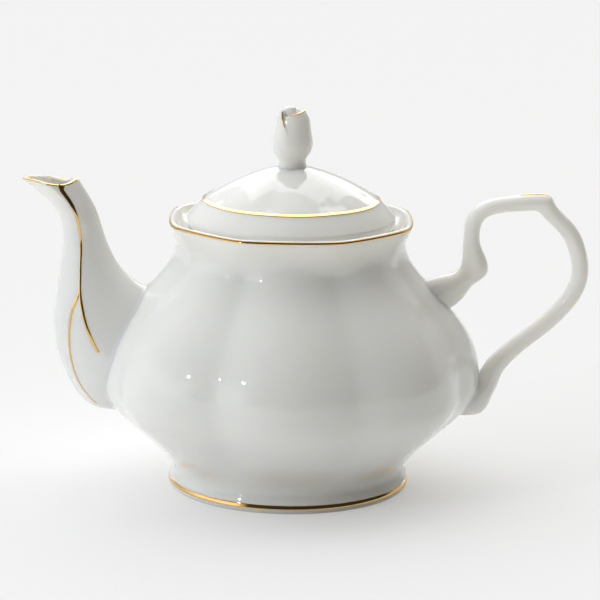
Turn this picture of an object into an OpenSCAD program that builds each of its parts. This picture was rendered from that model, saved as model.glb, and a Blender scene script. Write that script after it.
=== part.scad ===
// Teapot with eight soft lobes, a leaf-shaped spout, a scroll handle and a
// lift-off lid with a rosebud knob. Thin fired-on gold lines are separate
// solids that lie on the glaze. Millimetres, +Z up. The origin is the middle of
// the plane that the foot stands on, the spout points to -X.

/* [Body] */
// Radius of the foot at its gold edge
foot_r = 50; // [48.5:0.1:54]
// Height of the foot's gold edge above the table
foot_edge_z = 3.8; // [3:0.1:5]
// Radius of the waist between foot and belly
waist_r = 47.8; // [42:0.1:49.5]
// Height of the waist
waist_z = 7.2; // [6.8:0.1:9]
// Radius of the belly at the crest of a lobe
belly_r = 79.1; // [70:0.1:84]
// Height of the belly's widest place
belly_z = 45; // [40:0.5:50]
// Radius of the neck
neck_r = 47.4; // [46.5:0.1:50]
// Height of the neck
neck_z = 102.5; // [98:0.5:104]
// Radius of the rim in the middle of a side
rim_r = 50.2; // [49.6:0.1:53]
// Height of the rim above the table
rim_z = 113; // [112:0.1:118]
// Thickness of the wall
wall = 3; // [2.4:0.1:3.4]
// Depth of the hollow under the foot
foot_hollow = 4.6; // [3:0.1:5]

/* [Lobes] */
// Number of lobes round the body and round the lid
lobes = 8; // [6:1:10]
// Depth of the grooves as a share of the radius
groove_depth = 0.045; // [0.02:0.005:0.06]
// How far the rim's corners stand out as a share of the radius
corner_rise = 0.033; // [0.01:0.001:0.05]
// How round the bottom of each groove is
groove_softness = 0.25; // [0.15:0.05:0.5]

/* [Lid seat] */
// Radius of the round mouth that the lid's flange drops into
mouth_r = 37.6; // [35:0.1:39]
// How far the seat lies below the rim
seat_drop = 4.2; // [3.6:0.1:5]
// Thickness of the ledge that makes the seat
ledge_t = 3; // [2.4:0.1:4]
// Room between the lid and its seat
seat_gap = 0.25; // [0.2:0.05:0.4]
// Room between the flange and the mouth, all round
flange_gap = 0.6; // [0.4:0.1:1]

/* [Lid] */
// Radius of the lid's edge
lid_r = 43.2; // [42:0.1:44]
// Radius of the gold line on the lid
lid_line_r = 36; // [33:0.1:38]
// Height of the lid's edge above its seat
lid_edge_h = 4.2; // [3.6:0.1:5]
// Height of the gold line above the lid's edge
lid_line_h = 7.6; // [6:0.1:9]
// Height of the dome above the gold line
dome_h = 13.1; // [10:0.1:16]
// Depth of the flange below the seat
flange_h = 9; // [6:0.5:12]
// Thickness of the lid's wall and of its flange
lid_wall = 2.8; // [2.2:0.1:3.2]
// Turn of the lid in its seat, in degrees
lid_turn = 6.7; // [0:0.1:44]
// Diameter of the steam hole in the lid
vent_d = 3; // [2:0.5:4]

/* [Knob] */
// Height of the rosebud
knob_h = 25.6; // [20:0.1:30]
// Greatest radius of the rosebud
knob_r = 8.6; // [7.5:0.1:10]
// Radius of the stem under the bud
knob_stem_r = 5.7; // [5:0.1:6.2]
// Number of petals wrapped round the bud
petals = 3; // [3:1:5]
// How far each petal's edge stands off the next petal
petal_step = 0.9; // [0.4:0.1:1.4]
// How far the petals' edges lean over the bud's height, in degrees
petal_lean = 98; // [0:1:120]
// Turn of the petals round the bud, in degrees
petal_turn = 76; // [0:1:119]
// How far the innermost bud lies off the axis, as a share of the radius
bud_shift = 0.14; // [0:0.01:0.16]
// Height that a petal's top edge climbs on its way round
petal_climb = 3; // [0:0.1:4]

/* [Spout] */
// Distance of the spout's tip from the axis
spout_reach = 110.8; // [104:0.1:118]
// Height of the spout's tip
spout_tip_z = 128; // [122:0.5:134]
// Height of the lowest place where the spout joins the body
spout_low_z = 30.5; // [27:0.5:34]
// Height of the highest place where the spout joins the body
spout_high_z = 83; // [79:0.5:86]
// Height of the spout's narrowest place
throat_z = 104; // [100:0.5:108]
// Depth of the spout at its narrowest place, front to back
throat_d = 17.3; // [15:0.1:20]
// Width of the spout at its narrowest place
throat_w = 17.4; // [15:0.1:20]
// Width of the spout where it joins the body
spout_root_w = 42; // [36:0.5:46]
// How far the spout swells past the belly
spout_swell = 19; // [16:0.5:22]
// Length of the lip, from its tip to its heel
lip_l = 23; // [19:0.5:27]
// How far the lip dips between its tip and its heel
lip_dip = 1.6; // [0:0.1:2.5]
// Thickness of the spout's wall
spout_wall = 2.6; // [2:0.1:3]
// Diameter of one strainer hole
strainer_d = 5; // [3:0.5:5]

/* [Handle] */
// Distance of the handle's outermost place from the axis
handle_reach = 123.1; // [116:0.1:130]
// Height of the handle's top
handle_top_z = 123.5; // [118:0.5:128]
// Length of the thumb rest along the handle's top
thumb_l = 43; // [38:0.5:46]
// Drop from the handle's top to the lower end of its outer bow
bow_drop = 55; // [50:0.5:60]
// Height of the lowest place where the handle joins the body
handle_low_z = 29; // [27:0.5:32]
// Thickness of the handle's bar
handle_t = 7; // [6:0.1:8.5]
// Width of the handle's bar
handle_w = 8.4; // [7:0.1:10]
// Width of the handle where its foot joins the body
handle_root_w = 22; // [16:0.5:26]

/* [Gold] */
// Width of the gold lines
gold_w = 1.3; // [0.8:0.1:2]
// Width of the gold band round the foot
foot_gold_w = 1.7; // [1:0.1:2.2]
// Thickness of the gold
gold_t = 0.2; // [0.15:0.05:0.3]
// Distance between the gold and the faceted glaze under it
gold_gap = 0.08; // [0.06:0.01:0.12]
// Gap at the seams where spout and handle are joined on
seam = 0.22; // [0.2:0.01:0.3]

/* [Hidden] */
$fn = 96;
china = [0.93, 0.93, 0.91];
gold = [0.83, 0.61, 0.25];
// Points round one ring: whole lobes, each with a vertex on crest and groove.
ring_n = lobes * 8;
spout_n = 32;
handle_n = 14;
seat_z = rim_z - seat_drop;
lid_seat_z = seat_z + seat_gap;
lid_edge_z = lid_seat_z + lid_edge_h;
lid_line_z = lid_edge_z + lid_line_h;
dome_z = lid_line_z + dome_h;
flange_r = mouth_r - flange_gap;
knob_seat_r = knob_stem_r + 0.7;
floor_z = foot_hollow + wall * 1.2;
strainer_z = mix(spout_low_z, spout_high_z, 0.52);

// ---- curves ----

function mix(a, b, t) = a + (b - a) * t;
function span(a, b, x) = min(1, max(0, (x - a) / (b - a)));
function smooth(t) = t * t * (3 - 2 * t);

// A smooth curve through the points, at place t counted in points.
function along(points, t) =
    let (last = len(points) - 1)
    let (i = min(last - 1, max(0, floor(t))))
    let (u = t - i)
    let (a = points[max(0, i - 1)])
    let (b = points[i])
    let (c = points[i + 1])
    let (d = points[min(last, i + 2)])
    0.5 * (2 * b + (c - a) * u + (2 * a - 5 * b + 4 * c - d) * u * u
        + (3 * b - a - 3 * c + d) * u * u * u);

// 0 on a lobe's crest and 1 in a groove, with a softened cusp in the groove.
function groove(angle) =
    let (c = cos(lobes * angle / 2))
    let (e = groove_softness)
    (sqrt(1 + e * e) - sqrt(c * c + e * e)) / (sqrt(1 + e * e) - e);

// ---- body ----

function body_crest(z) =
    waist_r
    + (foot_r - waist_r) * smooth(span(waist_z, foot_edge_z, z))
    + (belly_r - waist_r) * smooth(pow(span(waist_z, belly_z, z), 0.87))
    + (neck_r - belly_r) * smooth(pow(span(belly_z, neck_z, z), 1.3))
    + (rim_r - neck_r) * smooth(span(neck_z, rim_z, z));

// Grooves fade out at waist and shoulder, and turn into the rim's corners.
function lobing(z) =
    corner_rise * smooth(span(mix(belly_z, neck_z, 0.93), rim_z, z))
    - groove_depth * smooth(span(waist_z, mix(waist_z, belly_z, 0.6), z))
        * (1 - smooth(span(mix(belly_z, neck_z, 0.87), mix(neck_z, rim_z, 0.17), z)));

function body_r(angle, z) = body_crest(z) * (1 + lobing(z) * groove(angle));

function polar(r, angle, z) = [r * cos(angle), r * sin(angle), z];

// The wall's slope in the upright plane, as the outward direction of its face.
function body_out(z) =
    let (rise = (body_crest(z + 0.05) - body_crest(z - 0.05)) / 0.1)
    [1, -rise] / norm([1, -rise]);

function body_point(angle, z, inset) =
    let (out = body_out(z))
    polar(body_r(angle, z) - inset * out[0], angle, z - inset * out[1]);

function ring_at(z, inset) =
    [for (i = [0:ring_n - 1]) body_point(i * 360 / ring_n, z, inset)];

// The rounded lip, turned over the middle of the wall.
function lip_ring(turn) =
    [for (i = [0:ring_n - 1])
        let (angle = i * 360 / ring_n)
        polar(body_r(angle, rim_z) - wall / 2 * (1 - cos(turn)), angle,
            rim_z - wall / 2 + wall / 2 * sin(turn))];

outer_levels = concat(
    [for (i = [0:21]) mix(waist_z - 0.6, neck_z, i / 21)],
    [for (i = [1:4]) mix(neck_z, rim_z - wall / 2, i / 4)]);
inner_levels = concat(
    [for (i = [3:-1:1]) mix(neck_z, rim_z - wall / 2, i / 3)],
    [for (i = [10:-1:2]) mix(waist_z, neck_z, i / 10)]);

// Joins rings of equal length into one skin. A closed loft runs back to its
// first ring, and an open one is capped at both ends.
module loft(rings, closed = false) {
    n = len(rings[0]);
    m = len(rings);
    steps = closed ? m : m - 1;
    sides = [for (i = [0:steps - 1], j = [0:n - 1])
        let (a = i * n + j)
        let (b = i * n + (j + 1) % n)
        let (c = ((i + 1) % m) * n + (j + 1) % n)
        let (d = ((i + 1) % m) * n + j)
        each [[a, d, c], [a, c, b]]];
    caps = closed ? [] : [
        [for (j = [0:n - 1]) j],
        [for (j = [n - 1:-1:0]) (m - 1) * n + j]];
    polyhedron(points = [for (r = rings) each r], faces = concat(sides, caps));
}

module body_skin() {
    floor_ring = [for (i = [0:ring_n - 1])
        polar(waist_r - wall * 1.9, i * 360 / ring_n, floor_z)];
    loft(concat(
        [for (z = outer_levels) ring_at(z, 0)],
        [for (turn = [45:45:135]) lip_ring(turn)],
        [for (z = inner_levels) ring_at(z, wall)],
        [floor_ring]));
}

// The foot ring is turned, so the face that it stands on is one flat ring.
module foot_ring() {
    inner_r = waist_r - wall * 1.4;
    rotate_extrude()
        polygon([
            [inner_r - 1.5, 0.5],
            [inner_r, 0],
            [foot_r - 1.6, 0],
            [foot_r, foot_edge_z - 1.9],
            [foot_r, foot_edge_z + 0.2],
            [mix(waist_r, foot_r, 0.5), mix(foot_edge_z, waist_z, 0.55)],
            [waist_r + 0.15, waist_z],
            [inner_r - 3, waist_z + 0.8],
            [inner_r - 3, foot_hollow]]);
}

// The ledge is turned too, so the lid can sit in it at any angle.
module lid_ledge() {
    low_z = seat_z - ledge_t - 2.5;
    low_r = body_r(0, low_z) - wall / 2;
    rotate_extrude()
        polygon([
            [mouth_r, seat_z - ledge_t + 0.6],
            [mouth_r + 0.6, seat_z - ledge_t],
            [low_r - 0.6, low_z],
            [low_r, low_z],
            [body_r(0, seat_z) - wall / 2, seat_z],
            [mouth_r + 0.4, seat_z],
            [mouth_r, seat_z - 0.4]]);
}

module strainer_holes() {
    pitch = strainer_d * 1.7;
    places = concat([[0, 0]],
        [for (k = [0:5]) pitch * [cos(60 * k + 30), sin(60 * k + 30)]]);
    for (p = places)
        translate([-belly_r - 5, p[0], strainer_z + p[1]])
            rotate([0, 90, 0])
                cylinder(d = strainer_d, h = 30);
}

module pot_body() {
    color(china)
        difference() {
            union() {
                body_skin();
                foot_ring();
                lid_ledge();
            }
            strainer_holes();
        }
}

// ---- spout ----

throat_x = belly_r + 6.3;
spout_front = [
    [-(belly_r - 20), spout_low_z + 1],
    [-(belly_r - 3), spout_low_z],
    [-(belly_r + 7), spout_low_z + 4.8],
    [-(belly_r + 15), mix(spout_low_z, throat_z, 0.25)],
    [-(belly_r + spout_swell), mix(spout_low_z, throat_z, 0.49)],
    [-(belly_r + spout_swell - 2), mix(spout_low_z, throat_z, 0.76)],
    [-(throat_x + throat_d / 2), throat_z],
    [-mix(throat_x + throat_d / 2, spout_reach, 0.2), mix(throat_z, spout_tip_z, 0.5)],
    [-spout_reach, spout_tip_z]];
spout_back = [
    [-(neck_r + 2), spout_high_z - 5],
    [-(neck_r + 13), spout_high_z],
    [-(neck_r + 17), spout_high_z + 2.3],
    [-(neck_r + 20.8), spout_high_z + 5.5],
    [-(neck_r + 24), mix(spout_high_z, throat_z, 0.45)],
    [-(neck_r + 26.8), mix(spout_high_z, throat_z, 0.7)],
    [-(throat_x - throat_d / 2), throat_z],
    [-mix(throat_x - throat_d / 2, spout_reach - lip_l, 0.36), mix(throat_z, spout_tip_z, 0.5)],
    [-(spout_reach - lip_l), spout_tip_z]];
spout_half_w = [spout_root_w / 2, spout_root_w / 2, spout_root_w * 0.465,
    mix(spout_root_w, throat_w, 0.3) / 2, mix(spout_root_w, throat_w, 0.55) / 2,
    mix(spout_root_w, throat_w, 0.82) / 2, throat_w / 2, throat_w / 2, throat_w * 0.5];
spout_end = len(spout_front) - 1;
// The gold stem lies on a soft ridge, a little in front of the side's middle.
ridge_at = 0.08;
ridge = 0.16;
// The sides' facets are the widest, so the gold on them stands off the most.
side_gap = gold_gap * 2;

// turn runs round the section: 0 is the front edge and 180 the back.
function spout_point(turn, t, inset) =
    let (f = along(spout_front, t))
    let (b = along(spout_back, t))
    let (half = norm(f - b) / 2 - inset)
    let (dir = (f - b) / norm(f - b))
    let (mid = (f + b) / 2)
    let (u = cos(turn))
    let (point_in = 0.45 * smooth(span(spout_end - 1.2, spout_end, t)))
    let (side = sin(turn) * (1 - ridge * abs(u - ridge_at)))
    let (v = side * (1 - point_in * max(0, u)))
    let (dip = (1 - u * u) * (1 - u) * (1 - u) * smooth(span(spout_end - 1, spout_end, t)))
    [mid[0] + dir[0] * half * u, -(along(spout_half_w, t) - inset) * v,
        mid[1] + dir[1] * half * u - lip_dip * 0.6 * dip];

// How far a point stands off the body, square to the wall.
function over_body(p) =
    (norm([p[0], p[1]]) - body_r(atan2(p[1], p[0]), p[2])) * body_out(p[2])[0];

// The place where one line along the spout reaches the body, by halving.
function spout_root(turn, inset, low = 0, high = 4, steps = 12) =
    let (half = (low + high) / 2)
    steps == 0 ? high
    : over_body(spout_point(turn, half, inset)) < seam
        ? spout_root(turn, inset, half, high, steps - 1)
        : spout_root(turn, inset, low, half, steps - 1);

function spout_turns() = [for (i = [0:spout_n - 1]) i * 360 / spout_n];

function spout_ring(share, inset, roots) =
    [for (i = [0:spout_n - 1])
        spout_point(i * 360 / spout_n, mix(roots[i], spout_end, share), inset)];

module spout() {
    outer_roots = [for (turn = spout_turns()) spout_root(turn, 0)];
    inner_roots = [for (turn = spout_turns()) spout_root(turn, spout_wall)];
    color(china)
        loft(concat(
            [for (i = [0:20]) spout_ring(i / 20, 0, outer_roots)],
            [for (i = [14:-1:0]) spout_ring(i / 14, spout_wall, inner_roots)]),
            closed = true);
}

// ---- handle ----

// Outer and inner edge of the handle in its own plane, from the upper joint,
// over the thumb rest and down to the foot.
handle_outer = [
    [neck_r - 6, rim_z - 30],
    [neck_r + 11, rim_z - 25],
    [neck_r + 20, rim_z - 22.5],
    [neck_r + 23.2, rim_z - 18.8],
    [neck_r + 23.6, rim_z - 9],
    [neck_r + 24.8, handle_top_z - 10],
    [neck_r + 31.5, handle_top_z - 3.2],
    [neck_r + thumb_l, handle_top_z - 0.6],
    [handle_reach - 18, handle_top_z],
    [handle_reach - 13.5, handle_top_z - 5.3],
    [handle_reach - 4, handle_top_z - 16],
    [handle_reach, handle_top_z - 30.5],
    [handle_reach - 3, handle_top_z - bow_drop * 0.78],
    [handle_reach - 13, handle_top_z - bow_drop],
    [handle_reach - 25.4, handle_low_z + 29],
    [belly_r + 10.3, handle_low_z + 20.3],
    [belly_r + 6.6, handle_low_z + 11.5],
    [belly_r + 0.8, handle_low_z + 1.8],
    [belly_r - 12, handle_low_z + 1]];
handle_thick = [18, 15, handle_t + 2.6, handle_t + 4.3, handle_t, handle_t,
    handle_t - 0.2, handle_t - 0.4, handle_t + 1.5, handle_t - 0.2, handle_t, handle_t,
    handle_t, handle_t, handle_t + 0.3, handle_t + 1, handle_t + 3.5, 18, 20];
handle_half_w = [7, 6.6, 5.4, 4.6, handle_w / 2, handle_w / 2, handle_w / 2,
    handle_w / 2, handle_w / 2, handle_w / 2, handle_w / 2, handle_w / 2, handle_w / 2,
    handle_w / 2, handle_w / 2, handle_w * 0.6, handle_root_w * 0.32,
    handle_root_w * 0.48, handle_root_w / 2];
// Way in from the outer edge at each point, as an angle in the handle's plane.
handle_in = [-50, -50, -35, -12, -3, -12, -50, -90, -130, -135, -155, -182, -206,
    -222, -216, -220, -222, -240, -245];
handle_end = len(handle_outer) - 1;

// share shrinks the section about its middle, for the faces at both joints.
function handle_point(turn, t, share = 1) =
    let (edge = along(handle_outer, t))
    let (half = along(handle_thick, t) / 2)
    let (aim = along(handle_in, t))
    let (way = [cos(aim), sin(aim)])
    let (u = 1 - share * cos(turn))
    [edge[0] + way[0] * half * u, -share * along(handle_half_w, t) * sin(turn),
        edge[1] + way[1] * half * u];

function handle_root(turn, share, low, high, steps = 12) =
    let (half = (low + high) / 2)
    steps == 0 ? high
    : over_body(handle_point(turn, half, share)) < seam
        ? handle_root(turn, share, half, high, steps - 1)
        : handle_root(turn, share, low, half, steps - 1);

module handle() {
    turns = [for (i = [0:handle_n - 1]) i * 360 / handle_n];
    upper = [for (turn = turns) handle_root(turn, 1, 0, 3)];
    lower = [for (turn = turns) handle_root(turn, 1, handle_end, handle_end - 3)];
    upper_face = [for (share = [0.1, 0.4, 0.7])
        [for (turn = turns)
            handle_point(turn, handle_root(turn, share, 0, 3), share)]];
    lower_face = [for (share = [0.7, 0.4, 0.1])
        [for (turn = turns)
            handle_point(turn, handle_root(turn, share, handle_end, handle_end - 3),
                share)]];
    color(china)
        loft(concat(
            upper_face,
            [for (i = [0:36])
                [for (j = [0:handle_n - 1])
                    handle_point(turns[j], mix(upper[j], lower[j], i / 36))]],
            lower_face));
}

// ---- lid ----

// The lid's outline at a share of the way: 0 at the edge, 1 at the gold line,
// 2 where the knob sits.
function lid_crest_r(t) =
    t < 1 ? mix(lid_r, lid_line_r, t) : mix(lid_line_r, knob_seat_r, t - 1);
function lid_z(t) =
    t < 1 ? lid_edge_z + lid_line_h * t * (1.1 - 0.1 * t)
    : lid_line_z + dome_h * (0.5 * (t - 1) + 0.5 * (1 - (2 - t) * (2 - t)));
function lid_lobing(t) =
    groove_depth * 0.6 * smooth(min(1, t)) * smooth(span(2, 1.6, t));
function lid_point(angle, t, inset) =
    let (rise = (lid_z(t + 0.01) - lid_z(t - 0.01))
        / (lid_crest_r(t - 0.01) - lid_crest_r(t + 0.01)))
    let (out = [rise, 1] / norm([rise, 1]))
    let (r = lid_crest_r(t) * (1 - lid_lobing(t) * groove(angle - lid_turn)))
    polar(r - inset * out[0], angle, lid_z(t) - inset * out[1]);
function lid_ring(t, inset) =
    [for (i = [0:ring_n - 1]) lid_point(i * 360 / ring_n + lid_turn, t, inset)];
function round_ring(r, z) =
    [for (i = [0:ring_n - 1]) polar(r, i * 360 / ring_n + lid_turn, z)];

module lid() {
    color(china)
        difference() {
            union() {
                loft(concat(
                    [round_ring(flange_r - 1, lid_seat_z + 0.2),
                        round_ring(lid_r - 2, lid_seat_z + 0.2),
                        round_ring(lid_r - 0.8, lid_seat_z + 0.8),
                        round_ring(lid_r - 0.1, lid_seat_z + 2.2)],
                    [for (t = [0.02, 0.25, 0.5, 0.75, 0.98]) lid_ring(t, 0)],
                    [for (t = [1.06, 1.2, 1.35, 1.5, 1.65, 1.8, 1.9]) lid_ring(t, 0)],
                    [round_ring(knob_seat_r, dome_z)]));
                lid_bearing();
            }
            lid_hollow();
            vent_hole();
        }
}

// The flat face that rests on the ledge, with the flange that drops through it.
module lid_bearing() {
    rotate_extrude()
        polygon([
            [flange_r - lid_wall, lid_seat_z - flange_h],
            [flange_r - 0.8, lid_seat_z - flange_h],
            [flange_r, lid_seat_z - flange_h + 0.8],
            [flange_r, lid_seat_z],
            [lid_r - 2.8, lid_seat_z],
            [lid_r - 2.4, lid_seat_z + 0.6],
            [flange_r - lid_wall, lid_seat_z + 3]]);
}

// The underside, a turned hollow that stays inside the grooved dome.
module lid_hollow() {
    shrink = 1 - groove_depth * 0.6;
    rotate_extrude()
        polygon(concat(
            [[0, lid_seat_z - 1], [flange_r - lid_wall, lid_seat_z - 1]],
            [for (t = [0.8, 1.1, 1.35, 1.6, 1.85])
                [lid_crest_r(t) * shrink - lid_wall * 0.7, lid_z(t) - lid_wall * 1.1]],
            [[0, dome_z - lid_wall - 0.8]]));
}

module vent_hole() {
    vent_r = mix(lid_line_r, knob_seat_r, 0.42);
    rotate([0, 0, 90])
        translate([vent_r, 0, lid_seat_z])
            cylinder(d = vent_d, h = 40);
}

// ---- knob ----

// Bud outline: radius at a share of the height.
bud = [knob_stem_r + 0.3, knob_stem_r, mix(knob_stem_r, knob_r, 0.65),
    knob_r * 0.98, knob_r * 0.95, knob_r * 0.86, knob_r * 0.74, knob_r * 0.62,
    knob_r * 0.5];

// Each petal comes out from under the one before it, rises towards its own
// free edge and steps down there. The free edges lean back as they climb.
function petal_place(angle, t) =
    let (part = (angle - petal_turn + petal_lean * t) * petals / 360)
    part - floor(part);
function petal_rise(angle, t) =
    let (place = petal_place(angle, t))
    petal_step * smooth(span(0.45, 0.75, t))
        * (smooth(span(0, 0.97, place)) - smooth(span(0.97, 1, place)));
function bud_r(angle, t) = along(bud, t * (len(bud) - 1)) + petal_rise(angle, t);
function bud_point(angle, t) = polar(bud_r(angle, t), angle, dome_z + knob_h * t);

// The petals' top edge, as a share of the height.
function bud_top(angle) =
    1 - (petal_climb * (1.53 - petal_place(angle, 0.93))) / knob_h;

module knob() {
    // One point lies on each free edge and one just past it.
    turns = [for (i = [0:petals - 1], place = [0.01, 0.12, 0.25, 0.38, 0.5, 0.62,
            0.74, 0.85, 0.93, 0.975, 0.999])
        (i + place) * 360 / petals + petal_turn];
    mouth_t = 1 - (petal_climb + 1.2) / knob_h;
    color(china)
        loft(concat(
            [for (t = [0, 0.08, 0.15, 0.22, 0.3, 0.38, 0.47, 0.56, 0.65, 0.73, 0.8])
                [for (turn = turns) bud_point(turn - petal_lean * t, t)]],
            [for (lay = [[0, 0], [0.45, 0.2], [0.9, 0.1]])
                [for (turn = turns)
                    let (angle = turn - petal_lean * 0.93)
                    let (t = bud_top(angle))
                    polar(bud_r(angle, t) - lay[0], angle,
                        dome_z + knob_h * t + lay[1])]],
            [for (lay = [[0.38, mouth_t], [0.33, mouth_t + 0.05], [0.27, 0.975],
                    [0.18, 1]])
                [for (turn = turns)
                    polar(knob_r * lay[0], turn - petal_lean * 0.93,
                        dome_z + knob_h * lay[1]) - [knob_r * bud_shift, 0, 0]]]));
}

// ---- gold ----

function unit(v) = v / norm(v);

module rim_gilding() {
    // Lies over the outer shoulder of the lip.
    color(gold)
        loft([for (lay = [[gold_gap, 0], [gold_gap * 2, 36], [gold_gap * 1.5, 64],
                [gold_gap * 1.5 + gold_t, 64], [gold_gap * 2 + gold_t, 36],
                [gold_gap + gold_t, 0]])
            [for (i = [ring_n - 1:-1:0])
                let (angle = i * 360 / ring_n)
                let (r = wall / 2 + lay[0])
                polar(body_r(angle, rim_z) - wall / 2 + r * cos(lay[1]), angle,
                    rim_z - wall / 2 + r * sin(lay[1]))]],
            closed = true);
}

module foot_gilding() {
    color(gold)
        rotate_extrude()
            translate([foot_r + gold_gap / 2, foot_edge_z - 0.1 - foot_gold_w])
                square([gold_t, foot_gold_w]);
}

module lid_gilding() {
    half = gold_w / 2 / (lid_r - lid_line_r);
    color(gold)
        loft([for (lay = [[1 - half, -gold_gap], [1 - half, -gold_gap - gold_t],
                [1 + half / 4, -gold_gap - gold_t], [1 + half / 4, -gold_gap]])
            [for (i = [0:ring_n - 1])
                lid_point(i * 360 / ring_n + lid_turn, lay[0], lay[1])]],
            closed = true);
}

module spout_lip_gilding() {
    // A line over the lip's top face, along its outer edge.
    color(gold)
        loft([for (lay = [[0.15, gold_gap], [0.15, gold_gap + gold_t],
                [0.15 + gold_w, gold_gap + gold_t], [0.15 + gold_w, gold_gap]])
            [for (i = [0:spout_n - 1])
                let (p = spout_point(i * 360 / spout_n, spout_end, lay[0]))
                p + [0, 0, lay[1]]]],
            closed = true);
}

// Gold on the spout's sides, as places [turn, t] and widths along each line:
// one stem, two branches.
stem = [[112, 7.8], [107, 7.35], [93, 6.9], [84.5, 6.2], [84, 5.3], [84.5, 4.4]];
stem_w = [1.7, 1.3, 0.9, 0.8, 0.8, 1];
long_branch = [[83, 4.35], [70, 4.05], [56, 3.5], [45.5, 3], [38, 2.45], [34, 1.85],
    [28, 1.4]];
long_w = [0.9, 0.9, 0.8, 0.7, 0.55, 0.35, 0.2];
short_branch = [[85, 4.4], [86, 3.9], [85, 3.4], [83.8, 2.8], [82.8, 2.25]];
short_w = [0.9, 1, 1.1, 1.2, 1];

module spout_strip(places, widths, steps, sign) {
    end = len(places) - 1;
    marks = [for (i = [0:steps]) along(places, end * i / steps)];
    halves = [for (i = [0:steps]) gold_w / 2 * along(widths, end * i / steps)];
    middles = [for (m = marks) spout_point(sign * m[0], m[1], 0)];
    arounds = [for (m = marks)
        unit(spout_point(sign * (m[0] + 1), m[1], 0)
            - spout_point(sign * (m[0] - 1), m[1], 0))];
    alongs = [for (m = marks)
        unit(spout_point(sign * m[0], m[1] + 0.02, 0)
            - spout_point(sign * m[0], m[1] - 0.02, 0))];
    outs = [for (i = [0:steps]) unit(sign * cross(arounds[i], alongs[i]))];
    loft([for (i = [0:steps])
        let (run = unit(middles[min(steps, i + 1)] - middles[max(0, i - 1)]))
        let (s = unit(cross(outs[i], run)) * halves[i])
        let (o = outs[i])
        let (c = middles[i])
        [c + s + o * side_gap, c + s + o * (side_gap + gold_t),
            c - s + o * (side_gap + gold_t), c - s + o * side_gap]]);
}

module spout_stem_gilding() {
    color(gold)
        for (sign = [1, -1]) {
            spout_strip(stem, stem_w, 12, sign);
            spout_strip(long_branch, long_w, 14, sign);
            spout_strip(short_branch, short_w, 8, sign);
        }
}

module handle_gilding() {
    // A short line on the thumb rest's upper edge.
    places = [for (i = [0:6]) mix(7.25, 8.05, i / 6)];
    middles = [for (t = places) handle_point(0, t)];
    color(gold)
        loft([for (i = [0:6])
            let (run = unit(middles[min(6, i + 1)] - middles[max(0, i - 1)]))
            let (o = [-run[2], 0, run[0]])
            let (s = [0, gold_w / 2, 0])
            let (c = middles[i])
            [c + s + o * gold_gap, c + s + o * (gold_gap + gold_t),
                c - s + o * (gold_gap + gold_t), c - s + o * gold_gap]]);
}

// A gold line along the bud: c is its middle, s its half width, o its way out.
module bud_line(marks) {
    loft([for (m = marks)
        let (c = m[0])
        let (s = m[1] * gold_w / 3)
        let (o = m[2])
        [c - s + o * gold_gap, c - s + o * (gold_gap + gold_t),
            c + s + o * (gold_gap + gold_t), c + s + o * gold_gap]]);
}

module knob_gilding() {
    // Down the free edge of the petal in front, and along the next one's top.
    edge = [for (i = [0:8])
        let (t = mix(0.64, 0.9, i / 8))
        let (angle = petal_turn - 120 - petal_lean * t)
        let (o = polar(1, angle - 4, 0))
        [bud_point(angle - 4, t), polar(1, angle + 86, 0), o]];
    top = [for (i = [0:8])
        let (angle = petal_turn - 120 - petal_lean * 0.93 + mix(34, 108, i / 8))
        let (t = bud_top(angle))
        let (side = polar(1, angle, 0))
        [polar(bud_r(angle, t) - 0.45, angle, dome_z + knob_h * t + 0.3), side,
            [0, 0, 1]]];
    color(gold) {
        bud_line(edge);
        bud_line(top);
    }
}

pot_body();
rim_gilding();
foot_gilding();
spout();
spout_lip_gilding();
spout_stem_gilding();
handle();
handle_gilding();
lid();
lid_gilding();
knob();
knob_gilding();
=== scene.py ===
import bpy
import math
from mathutils import Matrix, Vector


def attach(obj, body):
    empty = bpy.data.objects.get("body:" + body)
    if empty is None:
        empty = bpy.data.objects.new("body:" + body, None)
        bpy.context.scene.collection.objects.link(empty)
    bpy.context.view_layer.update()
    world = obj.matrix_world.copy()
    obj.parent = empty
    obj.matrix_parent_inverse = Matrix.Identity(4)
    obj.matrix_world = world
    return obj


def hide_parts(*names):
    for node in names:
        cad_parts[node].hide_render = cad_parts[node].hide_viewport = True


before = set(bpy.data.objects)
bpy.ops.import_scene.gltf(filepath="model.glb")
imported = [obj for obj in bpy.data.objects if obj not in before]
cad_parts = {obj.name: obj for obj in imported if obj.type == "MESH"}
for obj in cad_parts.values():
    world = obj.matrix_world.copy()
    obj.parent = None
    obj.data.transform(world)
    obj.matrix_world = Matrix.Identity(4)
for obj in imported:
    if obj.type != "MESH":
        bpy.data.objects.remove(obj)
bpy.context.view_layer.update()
mm = 0.001
probe = 0.05  # half the step, in mm, over which a slope is measured


# small helpers

def mix(a, b, t):
    return a + (b - a) * t


def span(a, b, x):
    return min(1.0, max(0.0, (x - a) / (b - a)))


def ease(t):
    return t * t * (3 - 2 * t)


def along(points, t):
    # a smooth curve through the points, with t counted in points
    last = len(points) - 1
    i = min(last - 1, max(0, math.floor(t)))
    u = t - i
    a, b = Vector(points[max(0, i - 1)]), Vector(points[i])
    c, d = Vector(points[i + 1]), Vector(points[min(last, i + 2)])
    return 0.5 * (2 * b + (c - a) * u + (2 * a - 5 * b + 4 * c - d) * u * u
                  + (3 * b - a - 3 * c + d) * u * u * u)


def alongValue(values, t):
    return along([(v, 0) for v in values], t)[0]


def deselectAll():
    if bpy.context.object and bpy.context.object.mode != "OBJECT":
        bpy.ops.object.mode_set(mode="OBJECT")
    bpy.ops.object.select_all(action="DESELECT")


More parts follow.
